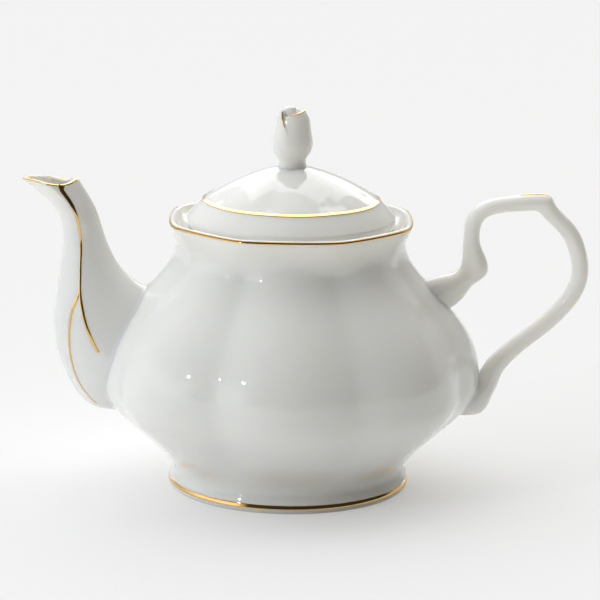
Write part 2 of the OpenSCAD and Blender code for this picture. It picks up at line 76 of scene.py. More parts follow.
def finishPiece(piece, body, node, smoothAngle=45):
    if piece.mode != "OBJECT":
        bpy.ops.object.mode_set(mode="OBJECT")
    deselectAll()
    piece.select_set(True)
    bpy.context.view_layer.objects.active = piece
    bpy.ops.object.transform_apply(location=True, rotation=True, scale=True)
    bpy.ops.object.shade_smooth_by_angle(angle=math.radians(smoothAngle))
    piece.select_set(False)
    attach(piece, body)
    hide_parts(node)
    return piece


def cutHoles(piece, drills):
    # each drill is a cylinder object, cut out of the piece and then removed
    for drill in drills:
        deselectAll()
        piece.select_set(True)
        bpy.context.view_layer.objects.active = piece
        cut = piece.modifiers.new("cut", "BOOLEAN")
        cut.operation, cut.object, cut.solver = "DIFFERENCE", drill, "EXACT"
        bpy.ops.object.modifier_apply(modifier=cut.name)
        bpy.data.objects.remove(drill)


def joinAll(name, pieces):
    deselectAll()
    for piece in pieces:
        piece.select_set(True)
    bpy.context.view_layer.objects.active = pieces[0]
    bpy.ops.object.join()
    joined = bpy.context.object
    joined.name = joined.data.name = name
    return joined


def startPiece(name):
    # one vertex in edit mode, ready to be moved and extruded
    deselectAll()
    bpy.ops.mesh.primitive_plane_add(size=mm, location=(0, 0, 0))
    piece = bpy.context.object
    piece.name = piece.data.name = name
    bpy.ops.object.mode_set(mode="EDIT")
    bpy.ops.mesh.merge(type="CENTER")
    return piece


def spinOutline(name, outline, sides):
    # outline: (radius, height, how far a groove moves this place) in mm, and
    # both ends lie on the axis or the first place is repeated at the end
    piece = startPiece(name)
    bpy.ops.transform.translate(value=(outline[0][0] * mm, 0, outline[0][1] * mm))
    for (r0, z0, _), (r1, z1, _) in zip(outline, outline[1:]):
        bpy.ops.mesh.extrude_region_move(
            TRANSFORM_OT_translate={"value": ((r1 - r0) * mm, 0, (z1 - z0) * mm)})
    bpy.ops.object.mode_set(mode="OBJECT")
    push = piece.data.attributes.new("groovePush", "FLOAT", "POINT")
    for i, place in enumerate(outline):
        push.data[i].value = place[2]
    bpy.ops.object.mode_set(mode="EDIT")
    bpy.ops.mesh.select_all(action="SELECT")
    bpy.ops.mesh.spin(steps=sides, angle=math.tau, center=(0, 0, 0), axis=(0, 0, 1))
    bpy.ops.mesh.select_all(action="SELECT")
    bpy.ops.mesh.remove_doubles(threshold=0.003 * mm)
    bpy.ops.mesh.normals_make_consistent(inside=False)
    bpy.ops.object.mode_set(mode="OBJECT")
    return piece


def ringLoft(name, rings, close=False):
    # a circle is extruded ring by ring, then each ring takes its own shape, and the
    # end rings are capped, or joined to each other when the loft closes on itself
    sides = len(rings[0])
    deselectAll()
    bpy.ops.mesh.primitive_circle_add(vertices=sides, radius=10 * mm)
    piece = bpy.context.object
    piece.name = piece.data.name = name
    bpy.ops.object.mode_set(mode="EDIT")
    bpy.ops.mesh.select_all(action="SELECT")
    for _ in rings[1:]:
        bpy.ops.mesh.extrude_region_move(TRANSFORM_OT_translate={"value": (0, 0, mm)})
    bpy.ops.object.mode_set(mode="OBJECT")
    points = [p for ring in rings for p in ring]
    for vertex, point in zip(piece.data.vertices, points):
        vertex.co = Vector(point) * mm
    bpy.ops.object.mode_set(mode="EDIT")
    bpy.ops.mesh.select_all(action="DESELECT")
    bpy.ops.object.mode_set(mode="OBJECT")
    for i in (*range(sides), *range(len(points) - sides, len(points))):
        piece.data.vertices[i].select = True
    bpy.ops.object.mode_set(mode="EDIT")
    bpy.ops.mesh.select_mode(type="EDGE")
    if close:
        bpy.ops.mesh.bridge_edge_loops()
    else:
        bpy.ops.mesh.edge_face_add()
    bpy.ops.mesh.select_mode(type="VERT")
    bpy.ops.mesh.select_all(action="SELECT")
    bpy.ops.mesh.normals_make_consistent(inside=False)
    bpy.ops.object.mode_set(mode="OBJECT")
    return piece


# pot body

bodyShape = {
    "footRadius": 50, "footEdge": 3.8, "footLean": 0.45, "footHollow": 4.6,
    "waistRadius": 47.8, "waist": 7.2, "bellyRadius": 79.1, "belly": 45,
    "neckRadius": 47.4, "neck": 102.5, "rimRadius": 50.2, "rim": 113, "wall": 3,
    "flare": 0.87, "shoulder": 1.3,  # how early the wall swells and draws in
    "lobes": 8, "grooveDepth": 0.045, "cornerRise": 0.033, "softness": 0.22,
    "groovesFull": 0.6, "groovesFade": 0.87, "groovesEnd": 0.17, "cornersFrom": 0.93,
    "mouthRadius": 37.6, "seatDrop": 4.2, "ledge": 3, "sides": 256,
    "wallSteps": 70, "neckSteps": 8, "insideSteps": 44, "insideTop": 99,
    # corners, as (towards the axis, up): foot ring outside, foot ring inside
    "footRound": [(1.6, 0), (1.0, 0.12), (0.45, 0.6), (0.12, 1.3), (0, 1.9)],
    "hollowRound": [(2.4, 2.4), (1.5, 0.6), (0.8, 0.12), (0, 0)],
    # between rim and lid seat, as (outwards, up, share of the rim's corners)
    "cove": [(9.35, 2.6, 0.9), (8.7, 1.75, 0.7), (7.9, 0.95, 0.5), (7.1, 0.4, 0.3),
             (6.4, 0.1, 0.15), (5.7, 0, 0)],
    # the ledge's upper and lower corner, as (outwards, up)
    "ledgeTop": [(0.8, 0), (0.25, -0.12), (0, -0.5)],
    "ledgeUnder": [(0, 0.6), (0.2, 0.15), (0.8, 0), (4.5, -1.6)],
    "strainerHole": 5, "strainerHeight": 57.8, "strainerPitch": 1.7,
}


def groove(angle):
    # 0 on a lobe's crest and 1 in a groove, angle in degrees
    c = math.cos(math.radians(bodyShape["lobes"] * angle / 2))
    e = bodyShape["softness"]
    top = math.sqrt(1 + e * e)
    return (top - math.sqrt(c * c + e * e)) / (top - e)


def crestRadius(z):
    b = bodyShape
    return (b["waistRadius"]
            + (b["footRadius"] - b["waistRadius"]) * ease(span(b["waist"], b["footEdge"], z))
            + (b["bellyRadius"] - b["waistRadius"])
            * ease(span(b["waist"], b["belly"], z) ** b["flare"])
            + (b["neckRadius"] - b["bellyRadius"])
            * ease(span(b["belly"], b["neck"], z) ** b["shoulder"])
            + (b["rimRadius"] - b["neckRadius"]) * ease(span(b["neck"], b["rim"], z)))


def lobing(z):
    # below 0 where grooves cut in, above 0 where the rim's corners stand out
    b = bodyShape
    corner = ease(span(mix(b["belly"], b["neck"], b["cornersFrom"]), b["rim"], z))
    rise = ease(span(b["waist"], mix(b["waist"], b["belly"], b["groovesFull"]), z))
    fall = 1 - ease(span(mix(b["belly"], b["neck"], b["groovesFade"]),
                         mix(b["neck"], b["rim"], b["groovesEnd"]), z))
    return b["cornerRise"] * corner - b["grooveDepth"] * rise * fall


def bodyRadius(angle, z):
    return crestRadius(z) * (1 + lobing(z) * groove(angle))


def wallRise(z):
    return (crestRadius(z + probe) - crestRadius(z - probe)) / (2 * probe)


def wallPlace(z, inset):
    # a place of the outline on the wall, or inset into it
    rise = wallRise(z)
    size = math.hypot(1, rise)
    return (crestRadius(z) - inset / size, z + inset * rise / size,
            crestRadius(z) * lobing(z))


def pushGrooves(piece, turn=0):
    # each vertex moves in or out by its own share, as the groove at its angle says
    push = piece.data.attributes["groovePush"].data
    for vertex, amount in zip(piece.data.vertices, push):
        x, y = vertex.co.x, vertex.co.y
        r = math.hypot(x, y)
        if r > 0.001 * mm:
            k = 1 + amount.value * mm * groove(math.degrees(math.atan2(y, x)) - turn) / r
            vertex.co.x, vertex.co.y = x * k, y * k


def makeBody():
    b = bodyShape
    top = b["rim"] - b["wall"] / 2
    seat = b["rim"] - b["seatDrop"]
    under = seat - b["ledge"]
    floorTop = b["footHollow"] + b["wall"] * 1.2
    inner = b["waistRadius"] - b["wall"] * 1.4
    rimPush = b["rimRadius"] * b["cornerRise"]
    # up the foot's hollow and edge, the outside wall and over the rim
    outline = [(0, b["footHollow"], 0), (20, b["footHollow"], 0), (36, b["footHollow"], 0),
               (inner - 5, b["footHollow"], 0), (inner - 3.4, b["footHollow"] - 0.4, 0)]
    outline += [(inner - back, up, 0) for back, up in b["hollowRound"]]
    outline += [(b["footRadius"] - back, up, 0) for back, up in b["footRound"]]
    outline += [(b["footRadius"] - b["footLean"], b["footEdge"], 0),
                (b["footRadius"] - b["footLean"] - 0.02, b["footEdge"] + 0.5, 0)]
    steps = b["wallSteps"]
    outline += [wallPlace(mix(b["footEdge"] + 1.1, b["neck"], i / steps), 0)
                for i in range(steps)]
    steps = b["neckSteps"]
    outline += [wallPlace(mix(b["neck"], top, i / steps), 0) for i in range(steps + 1)]
    for turn in range(20, 180, 20):
        t = math.radians(turn)
        outline.append((b["rimRadius"] - b["wall"] / 2 * (1 - math.cos(t)),
                        top + b["wall"] / 2 * math.sin(t), rimPush))
    # down the cove and the lid's ledge, then the inside wall to the floor
    outline += [(b["mouthRadius"] + out, seat + up, rimPush * push)
                for out, up, push in b["cove"]]
    outline += [(b["mouthRadius"] + out, seat + up, 0) for out, up in b["ledgeTop"]]
    outline += [(b["mouthRadius"] + out, under + up, 0) for out, up in b["ledgeUnder"]]
    steps = b["insideSteps"]
    outline += [wallPlace(mix(b["insideTop"], b["waist"] + 4, i / steps), b["wall"])
                for i in range(steps + 1)]
    outline += [(b["waistRadius"] - b["wall"] * 1.2, floorTop + 1.2, 0),
                (b["waistRadius"] - b["wall"] * 1.9, floorTop + 0.2, 0),
                (34, floorTop, 0), (18, floorTop, 0), (0, floorTop, 0)]
    piece = spinOutline("bodyGlaze", outline, b["sides"])
    pushGrooves(piece)
    hole, pitch = b["strainerHole"], b["strainerHole"] * b["strainerPitch"]
    places = [(0, 0)] + [(pitch * math.cos(math.radians(60 * k + 30)),
                          pitch * math.sin(math.radians(60 * k + 30))) for k in range(6)]
    drills = []
    for y, z in places:
        deselectAll()
        bpy.ops.mesh.primitive_cylinder_add(
            vertices=32, radius=hole / 2 * mm, depth=40 * mm, rotation=(0, math.pi / 2, 0),
            location=(-b["bellyRadius"] * mm, y * mm, (b["strainerHeight"] + z) * mm))
        drills.append(bpy.context.object)
    cutHoles(piece, [joinAll("drills", drills)])
    return finishPiece(piece, "pot", "pot_body")


bodyPiece = makeBody()
print("body", len(bodyPiece.data.polygons))


# spout

spoutShape = {
    "reach": 110.8, "tip": 128, "low": 30.5, "high": 83, "throat": 104,
    "throatDepth": 17.3, "throatWidth": 17.4, "rootWidth": 42, "swell": 19,
    "lip": 23, "lipDip": 1.6, "lipPoint": 0.45, "lipRound": 0.9, "wall": 2.6,
    "ridge": 0.16, "ridgeAt": 0.08, "ridgeSoft": 0.05,  # the ridge down each side
    "fillet": 1.1, "rootRange": 4, "sides": 128, "steps": 56, "insideSteps": 30,
}


def spoutCurves():
    # stations along the spout, from inside the pot to the lip: the front edge and
    # the back edge as (x, z), and half the width
    s, belly, neck = spoutShape, bodyShape["bellyRadius"], bodyShape["neckRadius"]
    throatX = belly + 6.3
    frontX, backX = throatX + s["throatDepth"] / 2, throatX - s["throatDepth"] / 2
    low, high, throat, tip = s["low"], s["high"], s["throat"], s["tip"]
    front = [(-(belly - 20), low + 1), (-(belly - 3), low), (-(belly + 7), low + 4.8),
             (-(belly + 15), mix(low, throat, 0.25)),
             (-(belly + s["swell"]), mix(low, throat, 0.49)),
             (-(belly + s["swell"] - 2), mix(low, throat, 0.76)), (-frontX, throat),
             (-mix(frontX, s["reach"], 0.2), mix(throat, tip, 0.5)), (-s["reach"], tip)]
    back = [(-(neck + 2), high - 5), (-(neck + 13), high), (-(neck + 17), high + 2.3),
            (-(neck + 20.8), high + 5.5), (-(neck + 24), mix(high, throat, 0.45)),
            (-(neck + 26.8), mix(high, throat, 0.7)), (-backX, throat),
            (-mix(backX, s["reach"] - s["lip"], 0.36), mix(throat, tip, 0.5)),
            (-(s["reach"] - s["lip"]), tip)]
    root, slim = s["rootWidth"], s["throatWidth"]
    halfWidth = [root / 2, root / 2, root * 0.465, mix(root, slim, 0.3) / 2,
                 mix(root, slim, 0.55) / 2, mix(root, slim, 0.82) / 2, slim / 2, slim / 2,
                 slim * 0.5]
    return front, back, halfWidth


spoutFront, spoutBack, spoutHalfWidth = spoutCurves()
spoutEnd = len(spoutFront) - 1


def spoutPlace(turn, t, inset):
    # turn 0 is the front edge of the section and 180 the back, in mm
    s = spoutShape
    f, b = along(spoutFront, t), along(spoutBack, t)
    half = (f - b).length / 2 - inset
    way, middle = (f - b).normalized(), (f + b) / 2
    u = math.cos(math.radians(turn))
    pointed = s["lipPoint"] * ease(span(spoutEnd - 1.2, spoutEnd, t))
    off = math.hypot(u - s["ridgeAt"], s["ridgeSoft"]) - s["ridgeSoft"] * 0.6
    side = math.sin(math.radians(turn)) * (1 - s["ridge"] * off)
    v = side * (1 - pointed * max(0, u))
    dip = (1 - u * u) * (1 - u) ** 2 * ease(span(spoutEnd - 1, spoutEnd, t))
    return Vector((middle.x + way.x * half * u,
                   -(alongValue(spoutHalfWidth, t) - inset) * v,
                   middle.y + way.y * half * u - s["lipDip"] * 0.6 * dip))


def overBody(p):
    # how far a place stands off the pot's wall, square to it
    angle = math.degrees(math.atan2(p.y, p.x))
    return (math.hypot(p.x, p.y) - bodyRadius(angle, p.z)) / math.hypot(1, wallRise(p.z))


def bodyNormal(p):
    slope = Vector([(overBody(p + d) - overBody(p - d)) for d in
                    (Vector((probe, 0, 0)), Vector((0, probe, 0)), Vector((0, 0, probe)))])
    return slope.normalized()


def sunk(ring, depth):
    # a ring moved into the pot's wall, which hides the seam
    return [p - bodyNormal(p) * depth for p in ring]


def reach(place, low, high, gap):
    # the value between low and high at which place() stands the gap off the wall
    for _ in range(16):
        half = (low + high) / 2
        if overBody(place(half)) < gap:
            low = half
        else:
            high = half
    return (low + high) / 2


def filletRing(place, turns, low, high, radius, phase):
    # one ring of the glaze's soft corner: phase 0 lies on the pot's wall and
    # 90 on the piece's own side
    off = radius * (1 - math.cos(math.radians(phase)))
    wide = radius * (1 - math.sin(math.radians(phase)))
    ring = []
    for turn in turns:
        t = reach(lambda v: place(turn, v), low, high, off)
        p = place(turn, t)
        around = place(turn + 1, t) - place(turn - 1, t)
        step = 0.02 if high > low else -0.02
        onward = place(turn, t + step) - p
        out = around.cross(onward)
        wall = bodyNormal(p)
        out = out - wall * out.dot(wall)
        if out.length > 0:
            out.normalize()
        centre = place(turn + 180, t)
        if out.dot(p - centre) < 0:
            out = -out
        ring.append(p + out * wide)
    return ring


def makeSpout():
    s = spoutShape
    turns = [i * 360 / s["sides"] for i in range(s["sides"])]
    far, fillet, lip = s["rootRange"], s["fillet"], s["lipRound"]

    def outer(turn, t):
        return spoutPlace(turn, t, 0)

    def inner(turn, t):
        return spoutPlace(turn, t, s["wall"])

    # up the outside, over the rounded lip and back down the inside
    rings = [filletRing(outer, turns, 0, far, fillet, phase)
             for phase in (0, 15, 30, 45, 60, 75)]
    rings.insert(0, sunk(rings[0], 0.5))
    roots = [reach(lambda v: outer(turn, v), 0, far, fillet) for turn in turns]
    top, steps = spoutEnd - 0.1, s["steps"]
    rings += [[outer(turn, mix(root, top, i / steps)) for turn, root in zip(turns, roots)]
              for i in range(steps + 1)]
    corner = [(lip * (1 - math.cos(a)), lip * (1 - math.sin(a)))
              for a in map(math.radians, (0, 18, 36, 54, 72, 90))]
    corner += [(s["wall"] - lip * (1 - math.cos(a)), lip * (1 - math.sin(a)))
               for a in map(math.radians, (90, 60, 30, 0))]
    rings += [[spoutPlace(turn, spoutEnd, inset) - Vector((0, 0, down)) for turn in turns]
              for inset, down in corner]
    roots = [reach(lambda v: inner(turn, v), 0, far, 0.2) for turn in turns]
    steps = s["insideSteps"]
    rings += [[inner(turn, mix(top, root, i / steps)) for turn, root in zip(turns, roots)]
              for i in range(steps + 1)]
    rings.append(sunk(rings[-1], 0.7))
    piece = ringLoft("spoutGlaze", rings, close=True)
    return finishPiece(piece, "pot", "spout", 60)


spoutPiece = makeSpout()
print("spout", len(spoutPiece.data.polygons))


# handle

handleShape = {
    "reach": 123.1, "top": 123.5, "thumb": 43, "drop": 55, "low": 29, "thick": 7,
    "width": 8.4, "rootWidth": 22, "fillet": 0.9, "rootRange": 3, "sides": 64,
    "steps": 150,
}


def handleCurves():
    # stations along the outer edge, from the upper root to the lower: (x, z), the
    # thickness, half the width and the direction of the inner edge, in degrees
    h, belly, neck = handleShape, bodyShape["bellyRadius"], bodyShape["neckRadius"]
    reachX, top, low, rim = h["reach"], h["top"], h["low"], bodyShape["rim"]
    outer = [(neck - 6, rim - 30), (neck + 11, rim - 25), (neck + 20, rim - 22.5),
             (neck + 23.2, rim - 18.8), (neck + 23.6, rim - 9), (neck + 24.8, top - 10),
             (neck + 31.5, top - 3.2), (neck + h["thumb"], top - 0.6), (reachX - 18, top),
             (reachX - 13.5, top - 5.3), (reachX - 4, top - 16), (reachX, top - 30.5),
             (reachX - 3, top - h["drop"] * 0.78), (reachX - 13, top - h["drop"]),
             (reachX - 25.4, low + 29), (belly + 10.3, low + 20.3), (belly + 6.6, low + 11.5),
             (belly + 0.8, low + 1.8), (belly - 12, low + 1)]
    t, w, root = h["thick"], h["width"], h["rootWidth"]
    thick = [18, 15, t + 2.6, t + 4.3, t, t, t - 0.2, t - 0.4, t + 1.5, t - 0.2, t, t, t, t,
             t + 0.3, t + 1, t + 3.5, 18, 20]
    halfWidth = [7, 6.6, 5.4, 4.6] + [w / 2] * 11 + [w * 0.6, root * 0.32, root * 0.48,
                                                     root / 2]
    inward = [-50, -50, -35, -12, -3, -12, -50, -90, -130, -135, -155, -182, -206,
              -222, -216, -220, -222, -240, -245]
    return outer, thick, halfWidth, inward


handleOuter, handleThick, handleHalfWidth, handleIn = handleCurves()
handleEnd = len(handleOuter) - 1


def handlePlace(turn, t):
    edge = along(handleOuter, t)
    half = alongValue(handleThick, t) / 2
    aim = math.radians(alongValue(handleIn, t))
    u = 1 - math.cos(math.radians(turn))
    return Vector((edge.x + math.cos(aim) * half * u,
                   -alongValue(handleHalfWidth, t) * math.sin(math.radians(turn)),
                   edge.y + math.sin(aim) * half * u))


def makeHandle():
    h = handleShape
    turns = [i * 360 / h["sides"] for i in range(h["sides"])]
    phases, fillet, last = (0, 20, 40, 60, 80), h["fillet"], handleEnd - h["rootRange"]
    upper = [filletRing(handlePlace, turns, 0, h["rootRange"], fillet, phase)
             for phase in phases]
    lower = [filletRing(handlePlace, turns, handleEnd, last, fillet, phase)
             for phase in reversed(phases)]
    starts = [reach(lambda v: handlePlace(turn, v), 0, h["rootRange"], fillet)
              for turn in turns]
    ends = [reach(lambda v: handlePlace(turn, v), handleEnd, last, fillet)
            for turn in turns]
    rings = [sunk(upper[0], 0.5)] + upper
    rings += [[handlePlace(turn, mix(a, b, i / h["steps"]))
               for turn, a, b in zip(turns, starts, ends)] for i in range(h["steps"] + 1)]
    rings += lower + [sunk(lower[-1], 0.5)]
    piece = ringLoft("handleGlaze", rings)
    return finishPiece(piece, "pot", "handle", 60)


handlePiece = makeHandle()
print("handle", len(handlePiece.data.polygons))


# lid

lidShape = {
    "radius": 43.2, "lineRadius": 36, "edge": 4.2, "line": 7.6, "dome": 13.1,
    "flange": 9, "wall": 2.8, "turn": 6.7, "vent": 3, "seatGap": 0.25,
    "flangeGap": 0.6, "knobSeat": 6.4, "sides": 256, "steps": 60, "ventPlace": 0.42,
    "lobe": 0.6, "brimLobe": 0.35, "domeLobe": 1.1,  # shares of the pot's grooves
    # the brim's rounded edge, as (towards the axis, up)
    "edgeRound": [(2.8, 0), (1.9, 0.15), (1.2, 0.45), (0.6, 1), (0.25, 1.7),
                  (0.08, 2.6), (0.02, 3.5)],
}


def lidHeights():
    seat = bodyShape["rim"] - bodyShape["seatDrop"] + lidShape["seatGap"]
    edge = seat + lidShape["edge"]
    line = edge + lidShape["line"]
    return seat, edge, line, line + lidShape["dome"]


lidSeat, lidEdge, lidLine, lidTop = lidHeights()


def lidCrest(t):
    # 0 at the edge, 1 at the gold line and 2 where the knob sits
    g = lidShape
    if t < 1:
        return (mix(g["radius"], g["lineRadius"], t),
                lidEdge + g["line"] * t * (1.1 - 0.1 * t))
    return (mix(g["lineRadius"], g["knobSeat"], t - 1),
            lidLine + g["dome"] * (0.5 * (t - 1) + 0.5 * (1 - (2 - t) * (2 - t))))


def lidPlace(t, inset=0):
    (r0, z0), (r1, z1) = lidCrest(t - 0.01), lidCrest(t + 0.01)
    rise = (z1 - z0) / (r0 - r1)
    size = math.hypot(rise, 1)
    r, z = lidCrest(t)
    g = lidShape
    lobe = (bodyShape["grooveDepth"] * g["lobe"]
            * (g["brimLobe"] + g["domeLobe"] * ease(span(0.98, 1.12, t)))
            * ease(min(1, t)) * ease(span(2, 1.15, t)))
    return (r - inset * rise / size, z - inset / size, -r * lobe)


def makeLid():
    g = lidShape
    flange = bodyShape["mouthRadius"] - g["flangeGap"]
    shrink = 1 - bodyShape["grooveDepth"] * g["lobe"]
    inside = [(0, lidTop - g["wall"] - 0.8, 0)]
    for t in (1.85, 1.6, 1.35, 1.1, 0.8):
        r, z = lidCrest(t)
        inside.append((r * shrink - g["wall"] * 0.7, z - g["wall"] * 1.1, 0))
    low = lidSeat - g["flange"]
    bearing = [(flange - g["wall"], lidSeat + 2, 0), (flange - g["wall"], low + 0.6, 0),
               (flange - g["wall"] + 0.5, low, 0), (flange - 1.1, low, 0),
               (flange - 0.35, low + 0.25, 0), (flange, low + 1, 0), (flange, lidSeat, 0)]
    bearing += [(g["radius"] - back, lidSeat + up, 0) for back, up in g["edgeRound"]]
    dome = [lidPlace(0.02 + 1.9 * i / g["steps"]) for i in range(g["steps"] + 1)]
    crown = [(g["knobSeat"], lidTop, 0), (g["knobSeat"] - 1.5, lidTop + 0.01, 0),
             (0, lidTop + 0.01, 0)]
    piece = spinOutline("lidGlaze", inside + bearing + dome + crown, g["sides"])
    pushGrooves(piece, g["turn"])
    deselectAll()
    bpy.ops.mesh.primitive_cylinder_add(
        vertices=32, radius=g["vent"] / 2 * mm, depth=40 * mm,
        location=(0, mix(g["lineRadius"], g["knobSeat"], g["ventPlace"]) * mm,
                  (lidSeat + 20) * mm))
    cutHoles(piece, [bpy.context.object])
    return finishPiece(piece, "lid", "lid", 35)


lidPiece = makeLid()
print("lid", len(lidPiece.data.polygons))


# rosebud knob

budShape = {
    "height": 25.6, "radius": 8.6, "stem": 5.7, "petals": 3, "step": 0.9,
    "stepFrom": 0.52, "stepFull": 0.8, "edge": 0.97,  # where a petal lifts and ends
    "lean": 98, "turn": 76, "climb": 3, "top": 0.93, "shift": 0.14, "steps": 60,
    # the inner bud, as (share of the radius, share of the height)
    "innerBud": [(0.31, 0.95), (0.27, 0.965), (0.22, 0.976), (0.14, 0.983), (0.06, 0.986)],
}


def budOutline():
    r, stem = budShape["radius"], budShape["stem"]
    return [stem + 0.3, stem, mix(stem, r, 0.65), r * 0.98, r * 0.95, r * 0.86, r * 0.74,
            r * 0.62, r * 0.5]


budRadii = budOutline()


def petalPlace(angle, t):
    # 0 where a petal comes out from under the last one and 1 at its free edge
    part = (angle - budShape["turn"] + budShape["lean"] * t) * budShape["petals"] / 360
    return part - math.floor(part)


def budRadius(angle, t):
    place, k = petalPlace(angle, t), budShape
    lift = ease(span(0, k["edge"], place)) - ease(span(k["edge"], 1, place))
    return (alongValue(budRadii, t * (len(budRadii) - 1))
            + k["step"] * ease(span(k["stepFrom"], k["stepFull"], t)) * lift)


def polar(r, angle, z):
    return Vector((r * math.cos(math.radians(angle)), r * math.sin(math.radians(angle)), z))


def budTop(angle):
    k = budShape
    return 1 - k["climb"] * (1.53 - petalPlace(angle, k["top"])) / k["height"]


def budPlace(angle, t):
    return polar(budRadius(angle, t), angle, lidTop + budShape["height"] * t)


def makeKnob():
    k = budShape
    shares = [0.004 + 0.966 * i / 30 for i in range(31)] + [0.977, 0.984, 0.991, 0.998]
    turns = [(i + share) * 360 / k["petals"] + k["turn"]
             for i in range(k["petals"]) for share in shares]
    rings = [[polar(budRadii[0] + 0.5 * (1 - i / 3) ** 2, turn, lidTop - 0.3 + 0.1 * i)
              for turn in turns] for i in range(4)]
    rings += [[budPlace(turn - k["lean"] * t, t) for turn in turns]
              for t in [0.012 + 0.788 * i / k["steps"] for i in range(k["steps"] + 1)]]
    # over the petals' rounded tops, as (inwards, up), and into the mouth
    angles = [turn - k["lean"] * k["top"] for turn in turns]
    for back, up in ((0, -0.5), (0, -0.12), (0.12, 0.1), (0.45, 0.2), (0.78, 0.12),
                     (0.95, -0.15)):
        rings.append([polar(budRadius(angle, budTop(angle)) - back, angle,
                            lidTop + k["height"] * budTop(angle) + up)
                      for angle in angles])
    mouth = 1 - (k["climb"] + 1.2) / k["height"]
    shift = Vector((k["radius"] * k["shift"], 0, 0))
    inner = [(0.4, mouth - 0.01), (0.38, mouth), (0.37, mouth + 0.03), (0.34, mouth + 0.07)]
    for wide, share in inner + k["innerBud"]:
        rings.append([polar(k["radius"] * wide, angle, lidTop + k["height"] * share) - shift
                      for angle in angles])
    piece = ringLoft("rosebudKnob", rings)
    return finishPiece(piece, "lid", "knob", 50)


knobPiece = makeKnob()
print("knob", len(knobPiece.data.polygons))


# gold lines

goldLine = {
    "width": 1.3, "lid": 1.05, "foot": 1.7, "thick": 0.2, "gap": 0.03, "steps": 24,
    "domed": [(-1, -0.06), (-0.92, 0.6), (-0.5, 0.95), (0, 1), (0.5, 0.95), (0.92, 0.6),
              (1, -0.06)],  # a strip's section, as (across, up)
}


def goldRing(name, node, body, outline, turn=0):
    # a closed outline (r, z, groove push) turned round the pot
    piece = spinOutline(name, outline + outline[:1], bodyShape["sides"])
    pushGrooves(piece, turn)
    return finishPiece(piece, body, node, 40)


def rimGold():
    # only on the part of the rim's round that faces outwards and up
    b, g = bodyShape, goldLine
    low, high = g["gap"], g["gap"] + g["thick"]
    push = b["rimRadius"] * b["cornerRise"]
    lays = [(low - 0.08, a) for a in range(12, 53, 8)] + [(high - 0.08, 53)]
    lays += [(high, a) for a in range(50, 14, -7)] + [(high - 0.08, 11)]
    outline = []
    for off, a in lays:
        r = b["wall"] / 2 + off
        outline.append((b["rimRadius"] - b["wall"] / 2 + r * math.cos(math.radians(a)),
                        b["rim"] - b["wall"] / 2 + r * math.sin(math.radians(a)), push))
    return goldRing("rimGold", "rim_gilding", "pot", outline)


def footGold():
    b, g = bodyShape, goldLine
    r, z, h = b["footRadius"] + g["gap"], b["footEdge"] - 0.1 - g["foot"], g["foot"]
    lays = [(-0.1, 0), (g["thick"] * 0.7, 0.03), (g["thick"], 0.2), (g["thick"], 0.85),
            (g["thick"] * 0.7, 0.97), (-0.1, 1)]
    outline = [(r + out - b["footLean"] * up, z + h * up, 0) for out, up in lays]
    return goldRing("footGold", "foot_gilding", "pot", outline)


def lidGold():
    # a bead whose outer side stands higher, so that it mirrors the room behind
    g = goldLine
    half = g["lid"] / 2 / (lidShape["radius"] - lidShape["lineRadius"])
    low, high = -g["gap"], -g["gap"] - g["thick"]
    lays = [(1 - half, low + 0.1), (1 - half, high + 0.05)]
    lays += [(mix(1 - half * 0.9, 1 + half / 5, i / 5), mix(high - 0.14, low - 0.06, i / 5))
             for i in range(6)]
    lays += [(1 + half / 4, low - 0.02), (1 + half / 4, low + 0.1)]
    return goldRing("lidGold", "lid_gilding", "lid",
                    [lidPlace(t, inset) for t, inset in lays], lidShape["turn"])


def goldStrip(name, marks):
    # marks: (middle, side, out, half width), and the strip is domed across
    g = goldLine
    rings = []
    for middle, side, out, half in marks:
        rings.append([middle + side * half * across
                      + out * (g["gap"] + g["thick"] * up if up > 0 else -0.05)
                      for across, up in g["domed"]])
    return ringLoft(name, rings)


def spoutMarks(places, steps, sign, widths):
    # marks for a strip that runs over the spout's glaze, on the near or far side
    last = len(places) - 1
    found = []
    for i in range(steps + 1):
        turn, t = along(places, last * i / steps)
        middle = spoutPlace(sign * turn, t, 0)
        around = (spoutPlace(sign * (turn + 1), t, 0)
                  - spoutPlace(sign * (turn - 1), t, 0)).normalized()
        onward = (spoutPlace(sign * turn, t + 0.02, 0)
                  - spoutPlace(sign * turn, t - 0.02, 0)).normalized()
        found.append((middle, (around.cross(onward) * sign).normalized(),
                      alongValue(widths, (len(widths) - 1) * i / steps)))
    marks = []
    for i, (middle, out, half) in enumerate(found):
        run = (found[min(steps, i + 1)][0] - found[max(0, i - 1)][0]).normalized()
        marks.append((middle, out.cross(run).normalized(), out, half))
    return marks


stemShape = {
    "steps": 90,
    # the stem and its two branches: places (turn, t) on the spout and half widths
    "lines": [
        ([(117, 7.97), (108, 7.75), (100, 7.35), (91, 6.9), (84.5, 6.2), (84, 5.3),
          (84.5, 4.4)],
         [1.5, 0.95, 0.78, 0.62, 0.5, 0.5, 0.6]),
        ([(84.5, 4.55), (83, 4.35), (70, 4.05), (56, 3.5), (45.5, 3), (38, 2.45),
          (34, 1.85), (28, 1.4)],
         [0.3, 0.6, 0.6, 0.52, 0.45, 0.36, 0.22, 0.1]),
        ([(84.5, 4.55), (85, 4.4), (86, 3.9), (85, 3.4), (83.8, 2.8), (82.8, 2.25)],
         [0.3, 0.55, 0.65, 0.7, 0.78, 0.5])],
}


def stemGold():
    strips = [goldStrip("line", spoutMarks(places, stemShape["steps"], sign, widths))
              for sign in (1, -1) for places, widths in stemShape["lines"]]
    return finishPiece(joinAll("spoutStemGold", strips), "pot", "spout_stem_gilding", 50)


